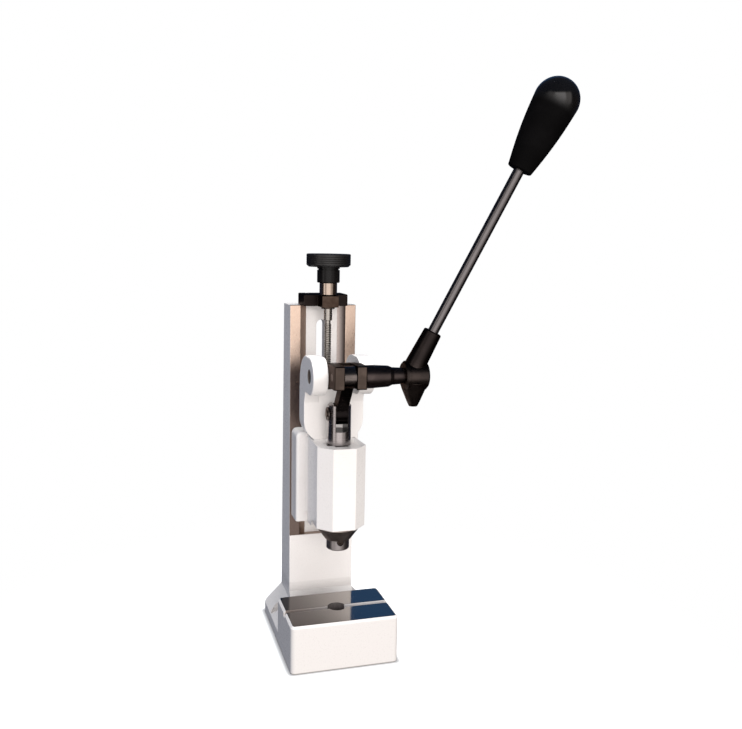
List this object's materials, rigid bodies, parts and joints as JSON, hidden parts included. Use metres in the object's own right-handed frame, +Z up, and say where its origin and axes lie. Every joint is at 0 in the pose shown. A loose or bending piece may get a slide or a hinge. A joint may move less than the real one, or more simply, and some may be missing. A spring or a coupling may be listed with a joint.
{
  "type": "tablet press",
  "caption": "Small bench tablet press: cast frame with ground table, height-adjustable head on a V guide, round ram driven by a toggle link and a hand lever with a grip.",
  "frame": {"origin": "where the ram's axis, which is also the table bore's axis, meets the underside of the base", "axes": "+Z up along the ram, -Y towards the operator, +X to the operator's right, where the lever is"},
  "size_m": [0.2249, 0.1775, 0.4942],
  "materials": {
    "painted_casting": "smooth white enamel over cast iron, with the table and guide faces ground bare",
    "burnished_steel": "black oxide, oiled, with worn edges",
    "black_screw": "black oxide",
    "turned_steel": "turned, bright",
    "ground_steel": "ground, bright",
    "drawn_steel": "drawn, satin",
    "spring_steel": "satin",
    "bronze": "turned",
    "black_knob": "satin",
    "black_grip": "glossy"
  },
  "bodies": {
    "frame": {"frame_casting": "painted_casting", "spindle_bracket": "burnished_steel", "bracket_screws": "black_screw"},
    "spindle": {"height_spindle": "turned_steel", "spindle_clip": "black_screw", "steel_collar": "turned_steel", "spindle_knob": "black_knob"},
    "head": {"head_casting": "painted_casting", "spindle_nut": "bronze", "clamp_plate": "burnished_steel", "clamp_washers": "turned_steel", "clamp_screws": "black_screw", "upper_ram_bush": "bronze", "lower_ram_bush": "burnished_steel", "return_spring": "spring_steel"},
    "lever": {"pivot_shaft": "burnished_steel", "crank_fork": "burnished_steel", "crank_pin": "burnished_steel", "lever_arbor": "burnished_steel", "lever_hub": "burnished_steel", "hub_set_screw": "black_screw", "lever_rod": "drawn_steel", "lever_grip": "black_grip"},
    "link": {"toggle_link": "burnished_steel"},
    "ram": {"ram": "ground_steel", "ram_pin": "burnished_steel", "ram_pin_clip": "burnished_steel", "ram_set_screw": "black_screw"}
  },
  "joints": [
    {"name": "head_height", "type": "slide", "parent": "frame", "child": "head", "axis": [0, 0, 1], "range_m": [-0.016, 0.06]},
    {"name": "spindle_turn", "type": "hinge", "parent": "frame", "child": "spindle", "pos_m": [0, 0.044, 0.32], "axis": [0, 0, -1], "range_deg": [-2880, 10800]},
    {"name": "ram_slide", "type": "slide", "parent": "head", "child": "ram", "axis": [0, 0, 1], "range_m": [-0.03665, 0], "stiffness_N_per_m": 550, "springref_m": 0.05, "deforming": ["return_spring"]},
    {"name": "lever_turn", "type": "hinge", "parent": "head", "child": "lever", "pos_m": [0, 0, 0.25], "axis": [1, 0, 0], "range_deg": [0, 78]},
    {"name": "link_swing", "type": "hinge", "parent": "lever", "child": "link", "pos_m": [0, -0.026, 0.253], "axis": [1, 0, 0], "range_deg": [-100, 1]}
  ],
  "couplings": [
    {"joint": "spindle_turn", "follows": "head_height", "rad_per_m": 3141.6},
    {"joint": "lever_turn", "follows": "ram_slide", "rad_per_m": -37.144},
    {"joint": "link_swing", "follows": "ram_slide", "rad_per_m": 46.894}
  ]
}
